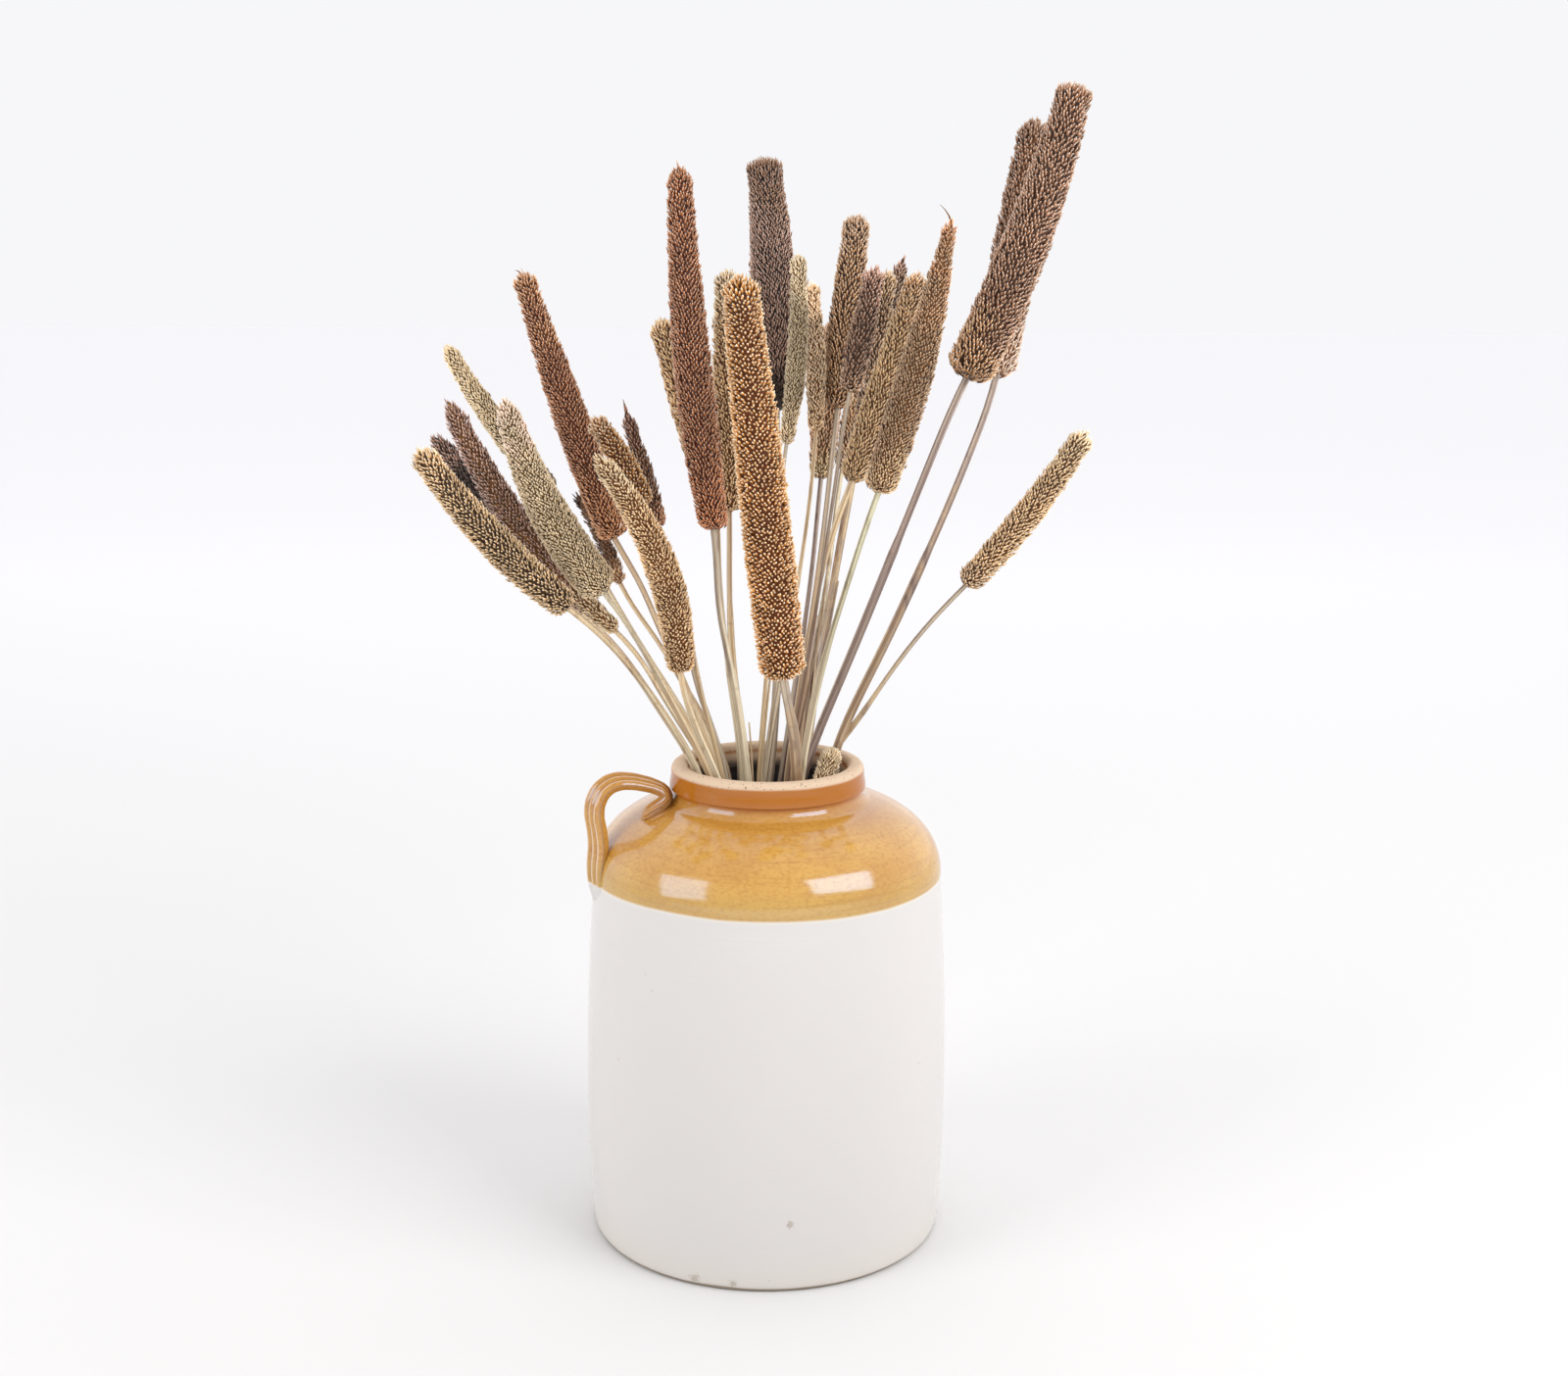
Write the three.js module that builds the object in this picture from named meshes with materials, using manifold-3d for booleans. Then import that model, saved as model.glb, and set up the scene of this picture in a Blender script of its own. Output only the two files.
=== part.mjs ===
// A stoneware jar holding a loose bunch of dried millet spikes.
// Millimetres, +Z up. The origin is the centre of the jar's foot, -Y is the front and the handle is towards -X.
import * as THREE from "three";
import { mergeVertices } from "three/addons/utils/BufferGeometryUtils.js";
import Module from "manifold-3d";

// Jar
const jarHeight = 293;
const jarRadius = 111;
const footRadius = 107;
const footRound = 6;
const glazeHeight = 226; // where the amber glaze meets the white one
const glazeRadius = 106;
const shoulderTop = 273;
const shoulderRise = 24; // the shoulder's curve leaves the body upright for this height
const shoulderReach = 28; // and meets the collar's root nearly flat over this width
const neckRadius = 57;
const collarRadius = 59.5;
const collarBase = 277;
const lipRound = 4.5;
const mouthRadius = 48;
const lidSeat = 12; // depth of the ledge under the rim that carried a lid
const throatRadius = 44;
const throatBase = 267;
const wall = 8;
const floorThickness = 10;
const floorFillet = 10;
const bellyHeight = jarHeight / 3; // where the body is widest
const jarFacets = 36;

// Handle: a ribbed strap pulled from clay, standing at the left and a little to the front
const handleTurn = THREE.MathUtils.degToRad(197);
const strapWidth = 19;
const strapThickness = 7;
const strapBevel = 2; // how far the inner face's edges are drawn in
const strapRibs = 3;
const ribDepth = 1.3;
const strapSteps = 24;
// Distance from the jar's axis, and height, of the strap's middle line: up from the glaze line, over, and
// curled under itself where its end is pressed onto the shoulder
const strapRoute = [
  [101, 206],
  [103.5, 216],
  [105.6, 226],
  [105.5, 236],
  [104.4, 247],
  [105.6, 258],
  [107.4, 268],
  [105.8, 277.5],
  [100.5, 284],
  [93.5, 286.8],
  [86, 286.2],
  [78, 284],
  [70.5, 280.3],
  [65.3, 275.5],
  [65.3, 270.5],
  [69.5, 267.8],
  [75, 265.5],
];

// Stalks
const gap = 0.3; // between a stalk and the spike that it carries
const stalkClearance = 1.1;
const stalkSides = 5;
const stalkSteps = 8; // above the rim
// Where a stalk's points lie inside the jar, as shares of its length there, from the foot up
const insideShares = [1, 0.72, 0.42, 0.2, 0.075];
const straightTop = 12; // the stalk runs straight out of the spike for this length
const leanRun = 60; // under the rim a stalk keeps its lean over about this length
const leanDrop = 40;
const uprightRun = 120; // and stands nearly upright over this height above its foot
const footSpread = 1.9; // how much wider the stalks stand on the floor than they pass the mouth
const footTurn = THREE.MathUtils.degToRad(75);
const easeRounds = 160;
const easeStep = 0.6; // share of the missing room that a point takes in one round
const easeBeside = 0.2; // share of it that its neighbours take, which keeps the curve smooth
const roomMargin = 4; // above and below a narrow part of the jar, where stalks already keep to its width
const spikeSpans = 6; // how finely a spike is followed while the stalks give way to it

// Florets on a spike, drawn larger than life
const floretWidth = 10;
const floretHeight = 9;
const floretRise = 2.4; // how far it stands out,
const floretShare = 0.3; // though never more than this share of a thin spike's radius
const floretSweep = 3.2; // how far its point leans towards the tip
const fewestRows = 4;
const widestAt = 0.35; // share of the spike's length, from its base
const shutBase = 0.5; // how far a spike closes in at its very ends
const shutTip = 0.55;
const taperPower = 1.6;

const tint = {
  gold: 0xa98b58,
  wheat: 0xa5875b,
  straw: 0xab8e5d,
  palegreen: 0xa2956a,
  greygreen: 0x8f8566,
  tan: 0x8b7250,
  bronze: 0x7d633d,
  rust: 0x86562e,
  copper: 0x91602f,
  chestnut: 0x774e34,
  umber: 0x674532,
  bark: 0x6c5440,
  plum: 0x574038,
  strawStalk: 0xc0a97b,
  greyStalk: 0x918374,
  mauveStalk: 0x8d786b,
  glaze: 0xdcd9d2,
};

// One entry for each stalk, from left to right by the tip of its spike.
// tip and base are the spike's ends, girth its thickness, bow its sideways bend, and top and foot its thickness at
// either end as shares of the girth. bends are where the stalk passes on its way down to its place in the mouth.
const stalks = [
  { tip: [-185, -118, 489], base: [-113, -72, 399], girth: 20, bow: -4.5, top: 0.6, foot: 0.85,
    bends: [[-86, -54, 370], [-64, -34, 333]], mouth: [-43, -16], stalk: 4.0, color: "gold" },
  { tip: [-200, 18, 486], base: [-128, 8, 397], girth: 18, bow: 0, top: 0.5, foot: 0.85,
    bends: [[-96, 7, 368], [-70, 5, 332]], mouth: [-44, 2], stalk: 3.8, color: "plum" },
  { tip: [-200, 80, 537], base: [-135, 60, 450], girth: 15, bow: -3.5, top: 0.5, foot: 0.9,
    bends: [[-104, 48, 398], [-71, 36, 345]], mouth: [-37, 24], stalk: 3.7, color: "palegreen" },
  { tip: [-182, -34, 510], base: [-90, -22, 377], girth: 19, bow: -9.5, top: 0.55, foot: 0.45,
    bends: [[-71, -17, 352], [-55, -13, 323]], mouth: [-37, -6], stalk: 3.7, color: "plum" },
  { tip: [-144, -82, 514], base: [-94, -58, 406], girth: 24, bow: -7, top: 0.4, foot: 0.9, widest: 0.2,
    bends: [[-73, -46, 371], [-54, -34, 332]], mouth: [-35, -24], stalk: 3.8, color: "greygreen" },
  { tip: [-147, 35, 581], base: [-93, 22, 426], girth: 22, bow: -1, top: 0.5, foot: 0.85,
    bends: [[-82, 20, 410], [-71, 17, 383], [-51, 13, 338]], mouth: [-32, 8], stalk: 4.7, color: "umber" },
  { tip: [-119, 62, 447], base: [-92, 48, 395], girth: 10, bow: 2, top: 0.7, foot: 0.9,
    bends: [[-70, 42, 362], [-49, 36, 327]], mouth: [-28, 30], stalk: 3.6, color: "umber" },
  { tip: [-99, -42, 501], base: [-72, -36, 452], girth: 16, bow: 2, top: 0.6, foot: 0.8,
    bends: [[-50, -28, 404], [-42, -20, 348]], mouth: [-28, -12], stalk: 3.3, color: "rust" },
  { tip: [-93, -106, 486], base: [-50, -62, 361], girth: 20, bow: 11.5, top: 0.42, foot: 0.75,
    bends: [[-46, -51, 338], [-40, -41, 316]], mouth: [-30, -32], stalk: 4.3, color: "wheat" },
  { tip: [-87, 42, 501], base: [-67, 36, 432], girth: 12, bow: 0, top: 0.35, foot: 0.9,
    bends: [[-53, 30, 386], [-45, 24, 339]], mouth: [-28, 18], stalk: 3.6, color: "plum" },
  { tip: [-68, 86, 553], base: [-35, 62, 452], girth: 21, bow: 0, top: 0.6, foot: 0.85,
    bends: [[-31, 53, 399], [-25, 43, 345]], mouth: [-17, 36], stalk: 4.2, color: "wheat" },
  { tip: [-53, 20, 643], base: [-32.5, 5, 434], girth: 23, bow: -3.5, top: 0.58, foot: 0.75,
    bends: [[-30, 2, 388], [-20, -1, 340]], mouth: [-13, -4], stalk: 5.2, color: "chestnut",
    straw: "greyStalk" },
  { tip: [-26, 55, 583], base: [-24, 45, 440], girth: 20, bow: 0, top: 0.7, foot: 0.8,
    bends: [[-24, 35, 391], [-21, 24, 341]], mouth: [-13, 14], stalk: 4.2, color: "wheat" },
  { tip: [-16, -122, 580], base: [8.5, -64, 358], girth: 28, bow: 0, top: 0.66, foot: 0.95,
    bends: [[12.5, -55, 337], [16, -45, 315]], mouth: [17, -35], stalk: 6.9, color: "copper",
    straw: "greyStalk" },
  { tip: [-4, 84, 650], base: [4, 62, 501], girth: 29, bow: 2, top: 0.62, foot: 0.75,
    bends: [[7, 51, 432], [7, 41, 362]], mouth: [3, 30], stalk: 5.4, color: "umber" },
  { tip: [16, -15, 592], base: [10, -8, 486], girth: 12, bow: 3, top: 0.6, foot: 0.6,
    bends: [[5, -5, 424], [0, -1, 358]], mouth: [-5, 2], stalk: 2.8, color: "palegreen" },
  { tip: [25, 36, 576], base: [28, 30, 491], girth: 12, bow: 1, top: 0.6, foot: 0.7,
    bends: [[22, 24, 426], [11, 18, 359]], mouth: [0, 12], stalk: 2.9, color: "tan" },
  { tip: [41, 130, 551], base: [33, 98, 456], girth: 19, bow: 0, top: 0.7, foot: 0.7,
    bends: [[27, 77, 394], [19, 55, 342]], mouth: [11, 36], stalk: 3.8, color: "tan" },
  { tip: [40, 2, 300], base: [31, -3, 272], girth: 14, bow: 0, top: 0.6, foot: 0.8,
    bends: [], mouth: [28, -4], stalk: 3.0, color: "palegreen" },
  { tip: [52, 46, 616], base: [41, 40, 504], girth: 21, bow: 0, top: 0.62, foot: 0.8,
    bends: [[34, 29, 435], [24, 17, 363]], mouth: [13, 6], stalk: 4.1, color: "bronze" },
  { tip: [65, 140, 551], base: [47, 106, 462], girth: 13, bow: 0, top: 0.6, foot: 0.8,
    bends: [[39, 80, 405], [29, 54, 347]], mouth: [19, 28], stalk: 3.8, color: "tan" },
  { tip: [59, -38, 585], base: [46, -28, 518], girth: 15, bow: 0, top: 0.5, foot: 0.8,
    bends: [[36, -23, 446], [25, -19, 369]], mouth: [13, -14], stalk: 2.8, color: "plum" },
  { tip: [73, 80, 583], base: [58, 72, 486], girth: 15, bow: 0, top: 0.6, foot: 0.8,
    bends: [[46, 54, 422], [34, 36, 356]], mouth: [23, 18], stalk: 3.6, color: "tan" },
  { tip: [84, 112, 592], base: [67, 98, 526], girth: 12.5, bow: 0, top: 0.4, foot: 0.8,
    bends: [[50, 78, 449], [36, 58, 370]], mouth: [25, 33], stalk: 3.7, color: "greygreen" },
  { tip: [86, -2, 582], base: [48.5, -10, 465], girth: 19, bow: 1, top: 0.6, foot: 0.85,
    bends: [[31, -8, 411], [23, -6, 352]], mouth: [17, -4], stalk: 4.5, color: "tan" },
  { tip: [96.5, -84, 610], base: [61.5, -56, 463], girth: 21, bow: 3, top: 0.26, foot: 0.85,
    bends: [[45.5, -44, 409], [30, -33, 352]], mouth: [20, -22], stalk: 4.3, color: "bark" },
  { tip: [168, 132, 678], base: [143, 96, 521], girth: 29, bow: -1, top: 0.6, foot: 0.85,
    bends: [[113, 68, 443], [76, 38, 366]], mouth: [41, 12], stalk: 5.8, color: "chestnut",
    straw: "mauveStalk" },
  { tip: [182, 58, 692], base: [119, 42, 522], girth: 30, bow: 5, top: 0.65, foot: 1,
    bends: [[88, 31, 448], [56, 19, 369]], mouth: [24, 8], stalk: 5.6, color: "bark", straw: "mauveStalk" },
  { tip: [184, -10, 492], base: [118, 0, 402], girth: 18, bow: 3, top: 0.7, foot: 0.85,
    bends: [[90, 7, 369], [65.5, 13, 333]], mouth: [38, 22], stalk: 3.5, color: "straw", straw: "greyStalk" },
];

const wasm = await Module();
wasm.setup();

function solid(geometry) {
  const bare = geometry.index ? geometry.toNonIndexed() : geometry.clone();
  bare.deleteAttribute("normal");
  bare.deleteAttribute("uv");
  const merged = mergeVertices(bare, 1e-3);
  return new wasm.Manifold(new wasm.Mesh({
    numProp: 3,
    vertProperties: merged.attributes.position.array,
    triVerts: new Uint32Array(merged.index.array),
  }));
}

function geometryOf(manifold) {
  const made = manifold.getMesh();
  const geometry = new THREE.BufferGeometry();
  geometry.setAttribute("position", new THREE.BufferAttribute(made.vertProperties, 3));
  geometry.setIndex(new THREE.BufferAttribute(made.triVerts, 1));
  geometry.computeVertexNormals();
  return geometry;
}

// The jar's half section: foot, body, domed shoulder, collar, rounded lip, lid seat, throat and inner wall.
function jarProfile() {
  const outside = new THREE.Path();
  outside.moveTo(0, 0);
  outside.lineTo(footRadius - footRound, 0);
  outside.quadraticCurveTo(footRadius, 0, footRadius + 1, footRound);
  outside.quadraticCurveTo(2 * jarRadius - glazeRadius - 1, bellyHeight, glazeRadius, glazeHeight);
  outside.bezierCurveTo(
    glazeRadius + 0.5, glazeHeight + shoulderRise,
    neckRadius + shoulderReach, shoulderTop - wall,
    neckRadius, shoulderTop,
  );
  outside.lineTo(collarRadius, collarBase);
  outside.lineTo(collarRadius - 1, jarHeight - lipRound);
  outside.quadraticCurveTo(collarRadius - 1, jarHeight, collarRadius - 1 - lipRound, jarHeight);
  outside.lineTo(mouthRadius + 1, jarHeight - 1);

  const inside = new THREE.Path();
  inside.moveTo(mouthRadius, jarHeight - lidSeat);
  inside.lineTo(throatRadius, jarHeight - lidSeat - 1);
  inside.lineTo(throatRadius, throatBase);
  inside.bezierCurveTo(
    neckRadius + shoulderReach - wall, throatBase - wall,
    glazeRadius - wall, glazeHeight + shoulderRise / 2,
    glazeRadius - wall, glazeHeight - wall,
  );
  inside.lineTo(jarRadius - wall - 1, bellyHeight);
  inside.lineTo(footRadius - wall, floorThickness + floorFillet);
  inside.lineTo(footRadius - wall - floorFillet, floorThickness);
  inside.lineTo(0, floorThickness);
  return [...outside.getPoints(4), ...inside.getPoints(4)];
}

// The strap's section: flat on the inner face, soft ribs on the outer one.
function strapSection() {
  const half = strapWidth / 2;
  const rise = strapThickness / 2;
  const section = new THREE.Shape();
  section.moveTo(half - strapBevel, -rise);
  section.lineTo(half, rise - ribDepth);
  for (let rib = 0; rib < strapRibs; rib++) {
    const crest = half - (strapWidth * (rib + 0.5)) / strapRibs;
    section.lineTo(crest, rise);
    section.lineTo(crest - half / strapRibs, rise - ribDepth);
  }
  section.lineTo(strapBevel - half, -rise);
  section.closePath();
  return section;
}

function handleGeometry() {
  const points = strapRoute.map(([reach, height]) => new THREE.Vector3(reach, 0, height));
  const route = new THREE.CatmullRomCurve3(points);
  const strap = new THREE.ExtrudeGeometry(strapSection(), { steps: strapSteps, extrudePath: route });
  return strap.rotateZ(handleTurn);
}

function jarGeometry() {
  const body = solid(new THREE.LatheGeometry(jarProfile(), jarFacets).rotateX(Math.PI / 2));
  return geometryOf(body.add(solid(handleGeometry())));
}

const vector = ([x, y, z]) => new THREE.Vector3(x, y, z);

// A spike's middle line from base to tip, bowed in the plane that faces the front.
function spikeLine({ tip, base, bow }) {
  const from = vector(base);
  const to = vector(tip);
  const along = to.clone().sub(from).normalize();
  const sideways = new THREE.Vector3(0, 1, 0).cross(along).normalize();
  const middle = from.clone().lerp(to, 0.5).addScaledVector(sideways, 2 * bow);
  return new THREE.QuadraticBezierCurve3(from, middle, to);
}

// A spike's radius as a share of its greatest one, at a share of its length from the base.
function spikeShape(share, { top, foot, widest = widestAt }) {
  const toTip = Math.max(0, (share - widest) / (1 - widest));
  const toFoot = Math.max(0, (widest - share) / widest);
  return 1 - (1 - top) * toTip ** taperPower - (1 - foot) * toFoot ** taperPower;
}

// Rings of florets, each floret over the gap between two of the ring below, their points swept to the tip.
function spikeGeometry(stalk) {
  const line = spikeLine(stalk);
  const length = line.getLength();
  const florets = Math.max(fewestRows, Math.round((Math.PI * stalk.girth) / floretWidth));
  const rings = Math.max(fewestRows, Math.round(length / floretHeight));
  const sides = 2 * florets;
  const lastRing = 1 - floretSweep / length;
  const shares = Array.from({ length: rings + 1 }, (_, ring) => (lastRing * ring) / rings);
  const tangents = shares.map((share) => line.getTangentAt(share));
  const across = acrossAlong(tangents);
  const greatest = stalk.girth / 2;
  const rise = Math.min(floretRise, greatest * floretShare);
  const points = [line.getPoint(0)];
  shares.forEach((share, ring) => {
    const middle = line.getPointAt(share);
    const ends = ring === 0 ? shutBase : ring === rings ? shutTip : 1;
    const radius = greatest * spikeShape(share, stalk) * ends;
    for (let side = 0; side < sides; side++) {
      const raised = (ring + side) % 2 === 0 && ring > 0;
      const angle = (2 * Math.PI * side) / sides;
      const reach = raised ? radius : radius - rise * ends;
      const [first, second] = across[ring];
      const point = middle.clone().addScaledVector(first, reach * Math.cos(angle))
        .addScaledVector(second, reach * Math.sin(angle));
      if (raised && ring < rings) point.addScaledVector(tangents[ring], floretSweep);
      points.push(point);
    }
  });
  points.push(line.getPoint(1));
  return skinned(points, rings, sides);
}

// Closes rings of points, with one point below the first ring and one above the last, into a surface.
function skinned(points, rings, sides) {
  const faces = [];
  const at = (ring, side) => 1 + ring * sides + (side % sides);
  for (let side = 0; side < sides; side++) {
    faces.push(0, at(0, side + 1), at(0, side));
    for (let ring = 0; ring < rings; ring++) {
      const low = [at(ring, side), at(ring, side + 1)];
      const high = [at(ring + 1, side), at(ring + 1, side + 1)];
      // the cut runs between the sunk corners, so that each floret is a point with four faces
      if ((ring + side) % 2 === 0) {
        faces.push(low[0], low[1], high[0], low[1], high[1], high[0]);
      } else {
        faces.push(low[0], low[1], high[1], low[0], high[1], high[0]);
      }
    }
    faces.push(at(rings, side), at(rings, side + 1), points.length - 1);
  }
  const geometry = new THREE.BufferGeometry().setFromPoints(points);
  geometry.setIndex(faces);
  geometry.computeVertexNormals();
  return geometry;
}

// A stalk's points from its foot on the jar's floor, through the mouth, up to just below its spike.
// Under the rim it keeps its lean for a while and then comes to stand upright.
function stalkPoints(stalk) {
  const line = spikeLine(stalk);
  const rise = line.getTangent(0);
  const under = line.getPoint(0).addScaledVector(rise, -gap);
  const below = line.getPoint(0).addScaledVector(rise, -straightTop);
  const [x, y] = stalk.mouth;
  const upright = new THREE.Vector3(0, 0, 1);
  const stand = new THREE.Vector3(x, y, 0).applyAxisAngle(upright, footTurn).multiplyScalar(footSpread);
  stand.z = floorThickness + 2 * gap;
  const hidden = stalk.bends.length === 0;
  const rim = hidden ? below : new THREE.Vector3(x, y, jarHeight);
  const above = hidden ? [] : new THREE.CatmullRomCurve3([rim, ...stalk.bends.map(vector).reverse(), below])
    .getSpacedPoints(stalkSteps);
  const lean = hidden ? rise : above[1].clone().sub(rim).normalize();
  const inside = new THREE.CubicBezierCurve3(
    rim,
    rim.clone().addScaledVector(lean, -leanRun).addScaledVector(upright, -leanDrop),
    stand.clone().addScaledVector(upright, uprightRun),
    stand,
  );
  return [...insideShares.map((share) => inside.getPoint(share)), ...(hidden ? [below] : above), under];
}

// The nearest points of two short straight pieces, as shares of each, and the way from the second to the first.
function nearest(a0, a1, b0, b1) {
  const u = a1.clone().sub(a0);
  const v = b1.clone().sub(b0);
  const w = a0.clone().sub(b0);
  const [uu, uv, vv, uw, vw] = [u.dot(u), u.dot(v), v.dot(v), u.dot(w), v.dot(w)];
  const across = uu * vv - uv * uv;
  const clamp = (value) => Math.min(1, Math.max(0, value));
  let s = across > 1e-6 ? clamp((uv * vw - vv * uw) / across) : 0.5;
  const t = clamp((uv * s + vw) / vv);
  s = clamp((uv * t - uw) / uu);
  return { s, t, way: w.addScaledVector(u, s).addScaledVector(v, -t) };
}

// Pushes two chains of points apart wherever they come closer than their thicknesses allow.
function part(first, second, bothGive) {
  const mix = THREE.MathUtils.lerp;
  let moved = false;
  for (let i = 0; i + 1 < first.points.length; i++) {
    for (let j = 0; j + 1 < second.points.length; j++) {
      const [a0, a1, b0, b1] = [first.points[i], first.points[i + 1], second.points[j], second.points[j + 1]];
      const halves = (a0.distanceTo(a1) + b0.distanceTo(b1)) / 2;
      const farthest = halves + first.radii[i] + second.radii[j] + stalkClearance;
      if (Math.abs(a0.z + a1.z - b0.z - b1.z) / 2 > farthest) continue;
      const { s, t, way } = nearest(a0, a1, b0, b1);
      const firstRadius = mix(first.radii[i], first.radii[i + 1], s);
      const secondRadius = mix(second.radii[j], second.radii[j + 1], t);
      const apart = way.length();
      const short = firstRadius + secondRadius + stalkClearance - apart;
      if (short <= 0) continue;
      moved = true;
      way.multiplyScalar(short / Math.max(apart, 0.01));
      const share = bothGive ? 0.5 : 1;
      first.push[i].addScaledVector(way, share * (1 - s));
      first.push[i + 1].addScaledVector(way, share * s);
      if (!bothGive) continue;
      second.push[j].addScaledVector(way, -share * (1 - t));
      second.push[j + 1].addScaledVector(way, -share * t);
    }
  }
  return moved;
}

// How far from the axis a stalk may stand inside the jar, at a height.
function roomAt(height) {
  if (height > jarHeight + roomMargin) return Infinity;
  if (height > jarHeight - lidSeat + roomMargin) return mouthRadius;
  if (height > throatBase - roomMargin) return throatRadius;
  return footRadius - wall - floorFillet;
}

// Lets the stalks give way to each other, to the spikes and to the jar, keeping each one's own curve.
function easeApart(chains, spikes) {
  for (let round = 0; round < easeRounds; round++) {
    let moved = false;
    for (const chain of chains) chain.push = chain.points.map(() => new THREE.Vector3());
    chains.forEach((chain, i) => {
      for (const other of chains.slice(i + 1)) {
        moved = part(chain, other, true) || moved;
      }
      for (const spike of spikes) {
        if (spike.name === chain.name) continue;
        moved = part(chain, spike, false) || moved;
      }
    });
    for (const chain of chains) {
      const fixed = chain.points.length - 2;
      chain.points.forEach((point, i) => {
        if (i >= fixed) return;
        const beside = chain.push[Math.max(0, i - 1)].clone().add(chain.push[i + 1]);
        const step = chain.push[i].clone().multiplyScalar(easeStep).addScaledVector(beside, easeBeside);
        point.add(step.setZ(0));
        const across = Math.hypot(point.x, point.y);
        const room = roomAt(point.z) - chain.radii[i] - stalkClearance;
        if (across > room) point.multiply(new THREE.Vector3(room / across, room / across, 1));
      });
    }
    if (!moved) return;
  }
}

// Directions across a chain of points, carried from one point to the next without twisting.
function acrossAlong(tangents) {
  let side = new THREE.Vector3(0, 1, 0);
  return tangents.map((tangent) => {
    side = side.clone().addScaledVector(tangent, -side.dot(tangent)).normalize();
    return [side, tangent.clone().cross(side)];
  });
}

function stalkGeometry({ points, radii, top }) {
  const tangents = points.map((point, i) => {
    if (i === 0) return new THREE.Vector3(0, 0, 1);
    if (i === points.length - 1) return top;
    return points[i + 1].clone().sub(points[i - 1]).normalize();
  });
  const across = acrossAlong(tangents);
  const skin = [points[0]];
  points.forEach((point, i) => {
    for (let side = 0; side < stalkSides; side++) {
      const angle = (2 * Math.PI * side) / stalkSides;
      const [first, second] = across[i];
      skin.push(point.clone().addScaledVector(first, radii[i] * Math.cos(angle))
        .addScaledVector(second, radii[i] * Math.sin(angle)));
    }
  });
  skin.push(points.at(-1));
  return skinned(skin, points.length - 1, stalkSides);
}

function mesh(name, geometry, color, roughness) {
  const made = new THREE.Mesh(geometry, new THREE.MeshStandardMaterial({ color, roughness, metalness: 0 }));
  made.name = name;
  return made;
}

const bunch = new THREE.Group();
bunch.add(mesh("jar", jarGeometry(), tint.glaze, 0.15));

const numbered = stalks.map((stalk, i) => ({ ...stalk, name: String(i + 1).padStart(2, "0") }));
const chains = numbered.map((stalk) => {
  const points = stalkPoints(stalk);
  const radii = points.map(() => stalk.stalk / 2);
  return { name: stalk.name, points, radii, top: spikeLine(stalk).getTangent(0) };
});
const spikes = numbered.map((stalk) => {
  const points = spikeLine(stalk).getPoints(spikeSpans);
  const radii = points.map((_, i) => (stalk.girth / 2) * spikeShape(i / spikeSpans, stalk));
  radii[0] *= shutBase;
  return { name: stalk.name, points, radii };
});
easeApart(chains, spikes);

numbered.forEach((stalk, i) => {
  bunch.add(mesh("spike_" + stalk.name, spikeGeometry(stalk), tint[stalk.color], 0.9));
  bunch.add(mesh("stalk_" + stalk.name, stalkGeometry(chains[i]), tint[stalk.straw ?? "strawStalk"], 0.7));
});

export default bunch;
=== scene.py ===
import bpy
import math
import numpy as np
from mathutils import Matrix, Quaternion, Vector
from mathutils.geometry import interpolate_bezier


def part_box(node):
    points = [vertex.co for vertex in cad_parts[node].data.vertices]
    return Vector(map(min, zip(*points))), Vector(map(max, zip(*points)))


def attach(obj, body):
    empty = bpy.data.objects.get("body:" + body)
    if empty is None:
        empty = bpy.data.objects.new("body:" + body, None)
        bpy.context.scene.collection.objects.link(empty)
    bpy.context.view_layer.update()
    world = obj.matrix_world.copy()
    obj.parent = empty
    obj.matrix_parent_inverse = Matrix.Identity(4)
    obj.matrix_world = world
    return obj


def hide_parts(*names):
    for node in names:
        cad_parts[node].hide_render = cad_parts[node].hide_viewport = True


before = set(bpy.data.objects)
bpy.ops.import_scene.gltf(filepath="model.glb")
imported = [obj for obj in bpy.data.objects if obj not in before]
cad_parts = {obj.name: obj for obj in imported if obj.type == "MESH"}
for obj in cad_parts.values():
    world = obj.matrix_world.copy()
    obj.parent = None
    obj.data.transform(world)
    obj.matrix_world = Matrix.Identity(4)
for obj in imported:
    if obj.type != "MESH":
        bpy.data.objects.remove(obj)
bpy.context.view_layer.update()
bpy.ops.object.select_all(action="DESELECT")

# The camera.
# It stands a little above the rim and looks slightly down, where the photographer stood; the lens is given
# by its length in pixels on a picture 1600 pixels wide.
eye = Vector((0, -1.199, 0.5836))
look_down = 0.202
look_right = 0.008
lean = 0.006
lens_in_pixels = 2077.17
picture_width = 1600
bpy.ops.object.camera_add()
camera = bpy.context.object
camera.data.lens = lens_in_pixels / picture_width * camera.data.sensor_width
camera.matrix_world = (
    Matrix.Translation(eye)
    @ Matrix.Rotation(-look_right, 4, "Z")
    @ Matrix.Rotation(math.pi / 2 - look_down, 4, "X")
    @ Matrix.Rotation(lean, 4, "Z")
)
camera.data.dof.use_dof = False
bpy.context.scene.camera = camera
bpy.context.scene.view_settings.view_transform = "Standard"


# The jar.
# A two-gallon storage jar, thrown in one on the wheel: a flat foot, a barrel body, a domed shoulder, an
# upright collar and a thick rounded lip with a seat for a lid. The wall is drawn up here as on the wheel,
# ring by ring from the foot, over the lip and down the inside.
jar_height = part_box("jar")[1].z
foot_radius = 0.107
glaze_line = 0.2254
glaze_radius = 0.106
neck_radius = 0.0574
collar_radius = 0.0595
mouth_radius = 0.048
throat_radius = 0.044
jar_sides = 128


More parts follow.
